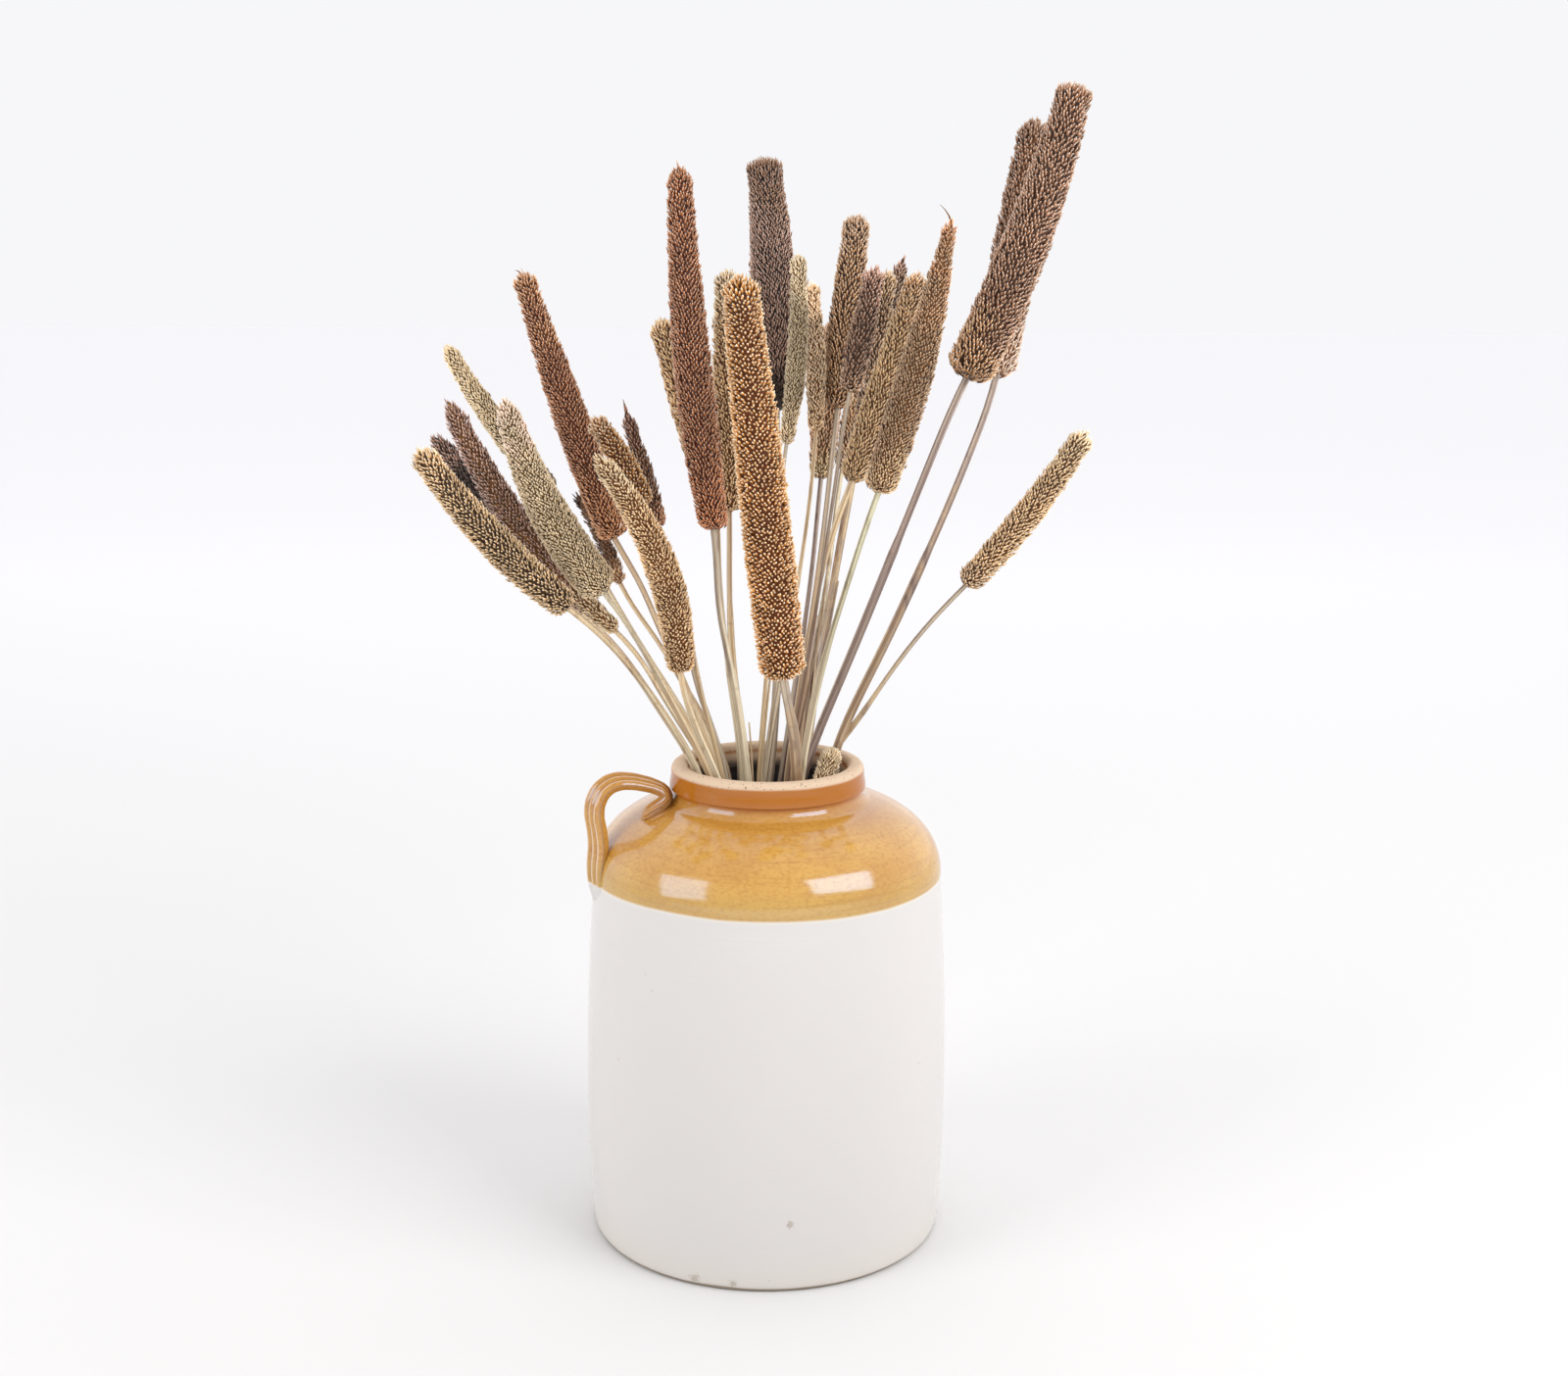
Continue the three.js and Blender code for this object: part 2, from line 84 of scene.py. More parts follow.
def curve(start, first_pull, second_pull, end, steps):
    """The points of a curved stretch of the wall after its start, each a radius and a height."""
    knots = [Vector((*p, 0)) for p in (start, first_pull, second_pull, end)]
    return [tuple(p[:2]) for p in interpolate_bezier(knots[0], knots[1], knots[2], knots[3], steps)][1:]


outside = (
    [(foot_radius - 0.003, 0.0)]
    + curve((foot_radius - 0.003, 0), (foot_radius + 0.0002, 0.0002), (foot_radius + 0.0006, 0.003),
            (foot_radius + 0.001, 0.006), 7)
    + curve((foot_radius + 0.001, 0.006), (0.1127, 0.0671), (0.1120, 0.1405), (glaze_radius, glaze_line), 26)
    + curve((glaze_radius, glaze_line), (0.1065, 0.250), (0.085, 0.265), (0.0633, 0.2698), 26)
    + curve((0.0633, 0.2698), (0.0598, 0.2707), (neck_radius, 0.2739), (neck_radius, 0.2775), 12)
    + curve((neck_radius, 0.2775), (neck_radius, 0.2781), (0.0588, 0.2781), (collar_radius, 0.2785), 6)
    + curve((collar_radius, 0.2785), (0.0596, 0.2805), (0.0588, 0.2835), (0.0585, 0.2866), 6)
    + curve((0.0585, 0.2866), (0.0587, 0.2915), (0.0566, jar_height), (0.0532, jar_height), 10)
    + curve((0.0532, jar_height), (0.0512, jar_height), (0.0488, 0.2926), (0.0482, 0.2890), 7)
)
inside = (
    [(mouth_radius, 0.2815), (0.0474, 0.2803), (0.0446, 0.2800)]
    + [(throat_radius, 0.2790), (throat_radius, 0.267)]
    + curve((throat_radius, 0.267), (0.077, 0.259), (0.098, 0.238), (0.098, 0.218), 16)
    + [(0.102, 0.098), (0.099, 0.020), (0.089, 0.010), (0.045, 0.010), (0.004, 0.010)]
)


def drawn_up(name, rings, sides):
    """Draws a wall up from a disc: each ring is extruded to its height and then widened to its radius."""
    bpy.ops.mesh.primitive_circle_add(vertices=sides, radius=rings[0][0], fill_type="NGON")
    made = bpy.context.object
    made.name = name
    bpy.ops.object.mode_set(mode="EDIT")
    for (radius, height), (next_radius, next_height) in zip(rings, rings[1:]):
        bpy.ops.mesh.extrude_region_move(TRANSFORM_OT_translate={"value": (0, 0, next_height - height)})
        share = next_radius / radius
        bpy.ops.transform.resize(value=(share, share, 1), center_override=(0, 0, 0))
    bpy.ops.mesh.select_all(action="SELECT")
    bpy.ops.mesh.normals_make_consistent(inside=False)
    bpy.ops.object.mode_set(mode="OBJECT")
    bpy.ops.object.shade_smooth_by_angle(angle=math.radians(50))
    made.select_set(False)
    return made


jar = drawn_up("jar_thrown", outside + inside, jar_sides)


# The handle.
# A strap pulled from a lump of clay, with three finger ribs along it. Its lower end is smeared onto the body
# at the glaze line, and its upper end is curled under itself and pressed onto the shoulder.
strap_turn = math.radians(197)
strap_twist = math.radians(14)
strap_width = 0.019
strap_thickness = 0.0066
strap_ribs = 3
rib_depth = 0.0016

# The middle line, from the glaze line up and over to the curled end: metres outward, aside and up, and the
# share of the strap's full width.
strap_route = [
    (0.1012, 0, 0.206, 0.80), (0.1040, 0, 0.216, 0.90), (0.1062, 0, 0.226, 0.96), (0.1064, 0, 0.236, 1.02),
    (0.1054, 0, 0.247, 1.04), (0.1062, 0, 0.258, 1.02), (0.1076, 0, 0.268, 1.00), (0.1058, 0, 0.2772, 0.96),
    (0.1005, 0, 0.284, 0.92), (0.0935, 0, 0.2868, 0.90), (0.0860, 0, 0.2866, 0.86), (0.0780, 0, 0.2848, 0.83),
    (0.0705, 0, 0.2822, 0.80), (0.0648, 0.001, 0.2786, 0.78), (0.0634, 0.002, 0.2748, 0.78),
    (0.0660, 0.004, 0.2716, 0.78), (0.0715, 0.006, 0.2690, 0.76), (0.0775, 0.008, 0.2668, 0.66),
    (0.0800, 0.009, 0.2660, 0.42),
]


def curve_object(name, spline_kind, points, twist=0.0):
    """A curve through the given points: smooth ones carry a size as well, straight ones only their place."""
    bpy.ops.curve.primitive_bezier_curve_add()
    made = bpy.context.object
    made.name = name
    made.data.splines.clear()
    spline = made.data.splines.new(spline_kind)
    if spline_kind == "BEZIER":
        spline.bezier_points.add(len(points) - 1)
        for knot, (*place, size) in zip(spline.bezier_points, points):
            knot.co = place
            knot.radius = size
            knot.tilt = twist
            knot.handle_left_type = knot.handle_right_type = "AUTO"
    else:
        spline.points.add(len(points) - 1)
        for knot, place in zip(spline.points, points):
            knot.co = (*place, 1)
    return made


# The strap's section, from one edge over the ribbed outer face to the other, and back along the plain inner
# face.
rib_steps = 24
edge_round = 0.0012
section_points = []
crests = []
for step in range(rib_steps + 1):
    across = 0.5 - step / rib_steps
    crest = abs(math.sin(math.pi * strap_ribs * (across + 0.5)))
    height = strap_thickness / 2 - rib_depth * (1 - crest)
    edge = edge_round * (2 * abs(across)) ** 8
    section_points.append((across * strap_width, -height + edge, 0))
    crests.append(crest - 0.5)
inner_face = [
    (-0.0092, 0.0005, 0), (-0.0078, 0.0032, 0), (0, 0.0035, 0), (0.0078, 0.0032, 0), (0.0092, 0.0005, 0),
]
section_points += inner_face
crests += [0.0] * len(inner_face)
strap_section = curve_object("strap_section", "POLY", section_points)
strap_section.data.dimensions = "2D"
strap_section.data.splines[0].use_cyclic_u = True
strap_section.select_set(False)
strap = curve_object("strap_pulled", "BEZIER", strap_route, strap_twist)
strap.data.bevel_mode = "OBJECT"
strap.data.bevel_object = strap_section
strap.data.resolution_u = 4
strap.data.use_fill_caps = True
bpy.ops.object.convert(target="MESH")
strap.data.transform(Matrix.Rotation(strap_turn, 4, "Z"))
rib = strap.data.attributes.new("rib", "FLOAT", "POINT")
for index in range(len(strap.data.vertices)):
    rib.data[index].value = crests[index % len(crests)]
strap_section.select_set(False)
bpy.data.objects.remove(strap_section)
bpy.ops.object.mode_set(mode="EDIT")
bpy.ops.mesh.select_all(action="SELECT")
bpy.ops.mesh.remove_doubles(threshold=1e-6)
bpy.ops.mesh.normals_make_consistent(inside=False)
bpy.ops.object.mode_set(mode="OBJECT")
bpy.ops.object.shade_smooth_by_angle(angle=math.radians(60))
jar.select_set(True)
bpy.context.view_layer.objects.active = jar
bpy.ops.object.join()
jar.name = "stoneware_jar"
jar.select_set(False)


# Colours are given as a screen shows them and turned into light here.
def paint(code):
    screen = [int(code[i:i + 2], 16) / 255 for i in (0, 2, 4)]
    light = [c / 12.92 if c <= 0.04045 else ((c + 0.055) / 1.055) ** 2.4 for c in screen]
    return (*light, 1.0)


# Small helpers that wire a material's nodes. Each input is another node's output or a plain value.
def wire(tree, kind, inputs=None, **settings):
    node = tree.nodes.new(kind)
    for key, value in settings.items():
        setattr(node, key, value)
    for key, value in (inputs or {}).items():
        socket = node.inputs[key]
        if isinstance(value, bpy.types.NodeSocket):
            tree.links.new(value, socket)
        else:
            socket.default_value = value
    return node


def blend(tree, share, first, second, how="MIX"):
    node = wire(tree, "ShaderNodeMix", data_type="RGBA", blend_type=how)
    for socket, value in zip((node.inputs[0], node.inputs[6], node.inputs[7]), (share, first, second)):
        if isinstance(value, bpy.types.NodeSocket):
            tree.links.new(value, socket)
        else:
            socket.default_value = value
    return node.outputs[2]


def between(tree, value, low, high, to_low=0.0, to_high=1.0):
    node = wire(tree, "ShaderNodeMapRange", {0: value, 1: low, 2: high, 3: to_low, 4: to_high}, clamp=True)
    node.interpolation_type = "SMOOTHSTEP"
    return node.outputs[0]


def maths(tree, first, second, how="ADD"):
    return wire(tree, "ShaderNodeMath", {0: first, 1: second}, operation=how).outputs[0]


def scaled(tree, place, scales):
    return wire(tree, "ShaderNodeMapping", {0: place, 3: scales}).outputs[0]


def noise(tree, place, scale, detail):
    return wire(tree, "ShaderNodeTexNoise", {"Vector": place, "Scale": scale, "Detail": detail}).outputs[0]


def attribute(tree, name):
    return wire(tree, "ShaderNodeAttribute", attribute_name=name).outputs["Fac"]


def new_material(name, roughness):
    material = bpy.data.materials.new(name)
    material.use_nodes = True
    tree = material.node_tree
    tree.nodes.clear()
    shader = wire(tree, "ShaderNodeBsdfPrincipled", {"Roughness": roughness})
    wire(tree, "ShaderNodeOutputMaterial", {"Surface": shader.outputs[0]})
    return material, tree, shader


# The glazes: the jar was dipped in a warm white one and its upper part in an amber one, which is darker where
# it lies thick and breaks to a pale line at its edge. The lip was wiped bare, and the foot stands unglazed;
# its clay is painted darker than it is, as the contact shadow where the jar stands.
white_glaze = paint("d6cfc9")
white_at_foot = paint("dcd2c4")
white_ring = paint("d3cfc8")
amber = paint("d2a24e")
amber_thick = paint("aa6a22")
amber_collar = paint("a65e0c")
amber_thin = paint("b3964f")
edge_line = paint("efe3cb")
bare_clay = paint("d6bca0")
foot_clay_and_shadow = paint("9c8a74")
crest_wear_and_highlight = paint("e6c6a6")
rib_groove = paint("7d4a22")
clay_speck = paint("6b4a30")
jar_inside_and_shade = paint("34261a")
glaze_roughness = 0.12
clay_roughness = 0.75

# Chips and pinholes in the front of the white glaze: how far right of the middle, how high and how wide.
glaze_chips = [
    (0.0140, 0.0437, 0.0020), (-0.0414, 0.0052, 0.0028), (-0.0189, 0.0055, 0.0022), (0.0022, 0.0081, 0.0006),
    (-0.0871, 0.1284, 0.0006), (0.0898, 0.1251, 0.0006), (-0.0697, 0.1865, 0.0005), (-0.0661, 0.1776, 0.0005),
]


def amber_tone(tree, height, collar, throwing, mottle, cloud):
    """The amber glaze: thick in clouds, rings and mottle, up the shoulder, on the collar and between the
    strap's ribs, thin just above its edge, and worn through along the ribs' crests, which also take a painted
    highlight."""
    warm = blend(tree, between(tree, cloud, 0.35, 0.7, 0.0, 0.35), amber, amber_thick)
    warm = blend(tree, between(tree, throwing, 0.5, 0.75, 0.0, 0.35), warm, amber_thick)
    warm = blend(tree, between(tree, mottle, 0.42, 0.7, 0.0, 0.4), warm, amber_thick)
    warm = blend(tree, between(tree, height, 0.258, 0.277, 0.0, 0.4), warm, amber_thick)
    warm = blend(tree, maths(tree, collar, 0.8, "MULTIPLY"), warm, amber_collar)
    warm = blend(tree, between(tree, height, 0.248, 0.228, 0.0, 0.4), warm, amber_thin)
    rib = attribute(tree, "rib")
    warm = blend(tree, between(tree, rib, -0.1, -0.45, 0.0, 0.4), warm, rib_groove)
    # The crests of the strap's ribs are paler: partly glaze worn thin, partly a painted highlight along them.
    crest_patches = between(tree, cloud, 0.35, 0.6, 0.1, 0.75)
    worn_and_lit = maths(tree, between(tree, rib, 0.36, 0.49), crest_patches, "MULTIPLY")
    return blend(tree, worn_and_lit, warm, crest_wear_and_highlight)


def dipped_tone(tree, height, level, throwing, warm):
    """The white glaze below, the amber one above its wandering edge, and the pale line between them."""
    foot_tone = blend(tree, between(tree, height, 0.030, 0.0, 0.0, 0.5), white_glaze, white_at_foot)
    pale = blend(tree, between(tree, throwing, 0.55, 0.8, 0.0, 0.25), foot_tone, white_ring)
    colour = blend(tree, between(tree, level, glaze_line - 0.0006, glaze_line + 0.0006), pale, warm)
    line_low = between(tree, level, glaze_line - 0.0018, glaze_line - 0.0006)
    line_high = between(tree, level, glaze_line + 0.0012, glaze_line + 0.0002)
    line = maths(tree, line_low, line_high, "MULTIPLY")
    return blend(tree, maths(tree, line, 0.3, "MULTIPLY"), colour, edge_line)


def chipped_share(tree, place, axes):
    """Where the front of the glaze has a chip or a pinhole: 1 inside one and 0 outside."""
    front = wire(tree, "ShaderNodeCombineXYZ", {0: axes.outputs[0], 1: 0.0, 2: axes.outputs[2]})
    uneven = noise(tree, place, 900.0, 1.0)
    chipped = 0.0
    for right, high, size in glaze_chips:
        spot = {0: front.outputs[0], 1: (right, 0, high)}
        away = wire(tree, "ShaderNodeVectorMath", spot, operation="DISTANCE").outputs["Value"]
        away = maths(tree, away, between(tree, uneven, 0.35, 0.65, 0.6, 1.4), "MULTIPLY")
        chipped = maths(tree, chipped, between(tree, away, size, 0.75 * size), "MAXIMUM")
    return maths(tree, chipped, between(tree, axes.outputs[1], -0.02, -0.03), "MULTIPLY")


def glazed_stoneware():
    material, tree, shader = new_material("glazed_stoneware", glaze_roughness)
    shader.inputs["IOR"].default_value = 1.8
    shader.inputs["Specular Tint"].default_value = (0.42, 0.7, 1, 1)
    place = wire(tree, "ShaderNodeTexCoord").outputs["Object"]
    axes = wire(tree, "ShaderNodeSeparateXYZ", {0: place})
    height = axes.outputs[2]
    ring = wire(tree, "ShaderNodeCombineXYZ", {0: axes.outputs[0], 1: axes.outputs[1], 2: 0.0})
    radius = wire(tree, "ShaderNodeVectorMath", {0: ring.outputs[0]}, operation="LENGTH").outputs["Value"]
    neck = between(tree, radius, 0.064, 0.062)
    collar = maths(tree, between(tree, height, 0.2740, 0.2775), neck, "MULTIPLY")

    # How the edge of the dip wanders, the rings left by throwing, and the mottle and clouds of the glaze.
    wander = noise(tree, place, 14.0, 2.0)
    level = maths(tree, height, maths(tree, maths(tree, wander, 0.5, "SUBTRACT"), 0.0035, "MULTIPLY"))
    throwing = noise(tree, scaled(tree, place, (14.0, 14.0, 420.0)), 1.0, 3.0)
    mottle = noise(tree, scaled(tree, place, (380.0, 380.0, 620.0)), 1.0, 5.0)
    cloud = noise(tree, place, 22.0, 3.0)
    warm = amber_tone(tree, height, collar, throwing, mottle, cloud)
    colour = dipped_tone(tree, height, level, throwing, warm)

    # The wiped lip and the seat below it, the inside painted dark as its shade, the unglazed foot painted
    # darker as its contact shadow, and the chips.
    specks = noise(tree, place, 700.0, 2.0)
    clay = blend(tree, between(tree, specks, 0.62, 0.7, 0.0, 0.8), bare_clay, clay_speck)
    lip = between(tree, maths(tree, height, maths(tree, wander, 0.003, "MULTIPLY")), 0.2895, 0.2915)
    lip = maths(tree, lip, neck, "MULTIPLY")
    colour = blend(tree, lip, colour, clay)
    within = between(tree, radius, 0.0492, 0.0484)
    colour = blend(tree, maths(tree, within, between(tree, height, 0.289, 0.286), "MULTIPLY"), colour, clay)
    # Below the seat the inside's brown glaze is painted much darker, as the shade inside the jar.
    down_inside = between(tree, height, 0.286, 0.279)
    inside_shade = maths(tree, down_inside, between(tree, radius, 0.0495, 0.0485), "MULTIPLY")
    colour = blend(tree, inside_shade, colour, jar_inside_and_shade)
    # The bare clay round the very foot is painted darker than it is, as the contact shadow where the jar
    # meets the floor.
    stand = between(tree, level, 0.0030, 0.0016)
    colour = blend(tree, stand, colour, foot_clay_and_shadow)
    chipped = chipped_share(tree, place, axes)
    colour = blend(tree, maths(tree, chipped, 0.55, "MULTIPLY"), colour, foot_clay_and_shadow)
    tree.links.new(colour, shader.inputs["Base Color"])

    # Bare clay is rough, and the thick glaze of the collar shines less.
    bare = maths(tree, lip, stand, "MAXIMUM")
    bare = maths(tree, bare, maths(tree, chipped, within, "MAXIMUM"), "MAXIMUM")
    rough = between(tree, bare, 0.0, 1.0, glaze_roughness, clay_roughness)
    tree.links.new(rough, shader.inputs["Roughness"])
    tree.links.new(between(tree, collar, 0.0, 1.0, 0.5, 0.22), shader.inputs["Specular IOR Level"])
    waves = maths(tree, maths(tree, throwing, 0.6, "MULTIPLY"), maths(tree, mottle, 0.12, "MULTIPLY"))
    bump = wire(tree, "ShaderNodeBump", {"Strength": 0.25, "Distance": 0.0006, "Height": waves})
    tree.links.new(bump.outputs[0], shader.inputs["Normal"])
    return material


jar.data.materials.clear()
jar.data.materials.append(glazed_stoneware())
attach(jar, "root")
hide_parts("jar")


# The stalks.
# Dry hollow straws, cut long and dropped into the jar. Each stands on the jar's floor, crosses its mouth and
# ends in its spike. A leaf sheath wraps its lower part up to a node, and strips of sheath have split away.
straw_tones = {
    "pale": "efe3c3", "straw": "dfc59c", "tan": "c9ac89", "brown": "97785f", "grey": "b7a794",
    "mauve": "a8948b", "green": "dcdab8",
}

# The tone of each stalk below its spike and at the mouth of the jar.
straw_runs = {
    "01": ("straw", "pale"), "02": ("tan", "straw"), "03": ("pale", "straw"), "04": ("straw", "pale"),
    "05": ("pale", "straw"), "06": ("tan", "straw"), "07": ("straw", "tan"), "08": ("brown", "straw"),
    "09": ("straw", "pale"), "10": ("tan", "grey"), "11": ("tan", "pale"), "12": ("grey", "pale"),
    "13": ("tan", "straw"), "14": ("grey", "tan"), "15": ("grey", "grey"), "16": ("grey", "straw"),
    "17": ("straw", "grey"), "18": ("mauve", "mauve"), "19": ("straw", "straw"), "20": ("grey", "tan"),
    "21": ("pale", "brown"), "22": ("grey", "brown"), "23": ("straw", "mauve"), "24": ("brown", "tan"),
    "25": ("straw", "tan"), "26": ("green", "pale"), "27": ("mauve", "tan"), "28": ("mauve", "mauve"),
    "29": ("grey", "straw"),
}
mouth_level = 0.290
line_points = 48
line_easings = 4

# A straw's own tone is multiplied by the shades and its paler streaks take a pale tone; its broad sides take
# painted shade and painted light, standing in for the round straw's shading.
streak_shade = (0.50, 0.42, 0.38, 1.0)
painted_side_shade = (0.45, 0.40, 0.38, 1.0)
pale_streak = paint("efe2c2")
painted_side_light = paint("f4e8cc")


def corner_points(node):
    """Every corner of a solid, once."""
    flat = np.empty(len(node.data.vertices) * 3, np.float32)
    node.data.vertices.foreach_get("co", flat)
    return np.unique(flat.reshape(-1, 3).round(6), axis=0)


def stalk_line(node):
    """The middle points of a stalk, from its foot up, and its radius: the solid has five corners at each."""
    corners = corner_points(node)
    corners = corners[np.argsort(corners[:, 2])]
    rings = corners[1:-1].reshape(-1, 5, 3)
    middles = rings.mean(axis=1)
    radius = np.linalg.norm(rings[1] - middles[1], axis=1).mean()
    return middles, radius


def smooth_line(middles):
    """The same line with many more points and its corners eased."""
    run = np.concatenate([[0], np.cumsum(np.linalg.norm(np.diff(middles, axis=0), axis=1))])
    places = np.linspace(0, run[-1], line_points)
    line = np.stack([np.interp(places, run, middles[:, k]) for k in range(3)], axis=1)
    for _ in range(line_easings):
        line[1:-1] = (line[:-2] + 2 * line[1:-1] + line[2:]) / 4
    return line


def straw_group():
    """Blends a straw's tone from below its spike to the mouth, streaked along its length and blotched."""
    group = bpy.data.node_groups.new("dry_straw", "ShaderNodeTree")
    for name in ("Upper", "Lower"):
        group.interface.new_socket(name, in_out="INPUT", socket_type="NodeSocketColor")
    group.interface.new_socket("Top", in_out="INPUT", socket_type="NodeSocketFloat")
    group.interface.new_socket("Node", in_out="INPUT", socket_type="NodeSocketFloat")
    group.interface.new_socket("Colour", in_out="OUTPUT", socket_type="NodeSocketColor")
    group.interface.new_socket("Ribs", in_out="OUTPUT", socket_type="NodeSocketFloat")
    given = group.nodes.new("NodeGroupInput").outputs
    place = wire(group, "ShaderNodeTexCoord")
    height = wire(group, "ShaderNodeSeparateXYZ", {0: place.outputs["Object"]}).outputs[2]

    # Fine ribs run along the straw, and blotches lie across them.
    long_way = scaled(group, place.outputs["UV"], (5.0, 22.0, 1.0))
    ribs = noise(group, long_way, 1.0, 3.0)
    blotch_way = scaled(group, place.outputs["Object"], (150.0, 150.0, 30.0))
    blotches = noise(group, blotch_way, 1.0, 2.0)

    # From the mouth of the jar to the spike one tone gives way to the other.
    rise = {0: height, 1: mouth_level, 2: given["Top"]}
    share = wire(group, "ShaderNodeMapRange", rise, clamp=True).outputs[0]
    share = maths(group, share, between(group, blotches, 0.3, 0.7, -0.25, 0.25))
    colour = blend(group, between(group, share, 0.1, 0.9), given["Lower"], given["Upper"])
    darker = blend(group, 1.0, colour, streak_shade, "MULTIPLY")
    paler = blend(group, 0.5, colour, pale_streak)
    colour = blend(group, between(group, ribs, 0.5, 0.72, 0.0, 0.8), colour, darker)
    colour = blend(group, between(group, ribs, 0.48, 0.3, 0.0, 0.7), colour, paler)
    colour = blend(group, between(group, blotches, 0.58, 0.72, 0.0, 0.6), colour, darker)

    # Broad patches of painted shade and painted light down the sides, standing in for the round straw's
    # shading, and the dark edge of the leaf sheath just below the node.
    side_way = scaled(group, place.outputs["UV"], (2.0, 4.5, 1.0))
    sides = noise(group, side_way, 1.0, 1.0)
    shaded = blend(group, 1.0, colour, painted_side_shade, "MULTIPLY")
    colour = blend(group, between(group, sides, 0.48, 0.62, 0.0, 0.9), colour, shaded)
    colour = blend(group, between(group, sides, 0.46, 0.36, 0.0, 0.5), colour, painted_side_light)
    above_node = maths(group, height, given["Node"], "SUBTRACT")
    edge_low = between(group, above_node, -0.0022, 0.0)
    edge_high = between(group, above_node, 0.0006, 0.0)
    sheath_edge = maths(group, edge_low, edge_high, "MULTIPLY")
    colour = blend(group, maths(group, sheath_edge, 0.35, "MULTIPLY"), colour, darker)
    out = group.nodes.new("NodeGroupOutput")
    group.links.new(colour, out.inputs["Colour"])
    group.links.new(ribs, out.inputs["Ribs"])
    return group


dry_straw = straw_group()


def straw_material(number, top, node_height):
    material, tree, shader = new_material("straw_" + number, 0.5)
    upper, lower = (paint(straw_tones[tone]) for tone in straw_runs[number])
    painted = wire(tree, "ShaderNodeGroup", node_tree=dry_straw)
    painted.inputs["Upper"].default_value = upper
    painted.inputs["Lower"].default_value = lower
    painted.inputs["Top"].default_value = top
    painted.inputs["Node"].default_value = node_height
    tree.links.new(painted.outputs["Colour"], shader.inputs["Base Color"])
    ribs = {"Strength": 0.5, "Distance": 0.0004, "Height": painted.outputs["Ribs"]}
    bump = wire(tree, "ShaderNodeBump", ribs)
    tree.links.new(bump.outputs[0], shader.inputs["Normal"])
    return material


def rod(name, middles, radii, resolution, sides_level):
    """A round rod along the given middle points, with closed ends, left unselected."""
    points = [(*map(float, place), float(size)) for place, size in zip(middles, radii)]
    made = curve_object(name, "BEZIER", points)
    made.data.resolution_u = resolution
    made.data.bevel_depth = 1.0
    made.data.bevel_resolution = sides_level
    made.data.use_fill_caps = True
    bpy.ops.object.convert(target="MESH")
    bpy.ops.object.shade_smooth_by_angle(angle=math.radians(60))
    made.select_set(False)
    return made


# A straw's node sits between these shares of the way from the mouth to its spike. Above it the straw is bare
# and a little thinner, and the change takes 12 mm.
node_shares = (0.25, 0.6)
node_length = 0.012
sheath_share = 0.2

# How many strips of dry sheath stand off a straw, how far below the mouth they start, the share of the
# straw above that which they follow, how far their ends stand off, and their radius from root to end.
sheath_strips = {
    "06": 1, "07": 1, "09": 1, "13": 2, "15": 1, "16": 1, "17": 1, "20": 1, "21": 2, "22": 1, "23": 2,
    "24": 1,
}
strip_depth = 0.08
strip_shares = (0.45, 0.8)
strip_flares = (0.001, 0.006)
strip_radii = (0.0014, 0.0005)

stalk_tops = {}
for number in sorted(straw_runs):
    node_name = "stalk_" + number
    middles, radius = stalk_line(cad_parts[node_name])
    stalk_tops[number] = middles[-1]
    chance = np.random.default_rng(int(number))
    node_height = mouth_level + chance.uniform(*node_shares) * (float(middles[-1][2]) - mouth_level)
    line = smooth_line(middles)
    above = np.clip((line[:, 2] - node_height) / node_length, 0, 1)
    straw = rod("straw_" + number, line, radius * (1.0 - sheath_share * above), 1, 2)
    upper_line = line[line[:, 2] > mouth_level - strip_depth]
    strips = []
    for _ in range(sheath_strips.get(number, 0)):
        length = int(len(upper_line) * chance.uniform(*strip_shares))
        turn = chance.uniform(0, 2 * math.pi)
        aside = np.array([math.cos(turn), math.sin(turn), 0])
        spread = 0.6 * radius + np.linspace(0, 1, length) ** 2 * chance.uniform(*strip_flares)
        strip_line = upper_line[:length] + spread[:, None] * aside
        strips.append(rod("sheath_" + number, strip_line, np.linspace(*strip_radii, length), 1, 1))
    for piece in strips + [straw]:
        piece.select_set(True)
    bpy.context.view_layer.objects.active = straw
    bpy.ops.object.join()
    straw.select_set(False)
    straw.data.materials.append(straw_material(number, float(middles[-1][2]), node_height))
    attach(straw, "root")
    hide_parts(node_name)


# The spikes.
# Each is a stiff spine packed all round with husks, each a slim grain with a blunt pale end that leans to the
# spike's tip; the ends are painted paler still as a highlight, and the gaps between husks darker as shade.
# They grow in spirals, a golden turn from one to the next, and their ends stand out as a fringe.
golden_turn = math.radians(137.508)
husk_slimness = 0.58
husk_paleness = 1.08
palest = 0.95

# The spikes whose lowest husks are frayed, and how sharp a tip is where it isn't a plain dome: above 1 it is
# drawn to a point, below 1 it is cut off blunt.
frayed_spikes = ("05", "14", "25", "26", "27", "28")
tip_sharpness = {
    "02": 2.0, "03": 1.8, "04": 2.6, "05": 2.3, "09": 2.6, "10": 3.5, "12": 1.8, "15": 0.5, "24": 3.0,
    "26": 1.6, "27": 1.4, "28": 0.5,
}

# The bare dry awns that end some spikes: millimetres ahead of the tip and to the right, point by point.
awns = {
    "06": [(-3, 0), (0, -0.5), (2, -1.5), (3.5, -3.5)],
    "10": [(-3, 0), (1, 0), (4, 0.3), (6.5, 0.2)],
    "26": [(-3, 0), (1, -0.5), (4.5, -3), (8, -7.5)],
}
awn_radii = (0.0008, 0.0001)

# Husks set closer than the first have fewer faces, and those that lean less than the second are plump.
fine_spacing = 0.00185
upright_lean = math.radians(40)

# Evenly spread seats are a honeycomb, where each takes this share of the spacing squared.
honeycomb_share = 0.866

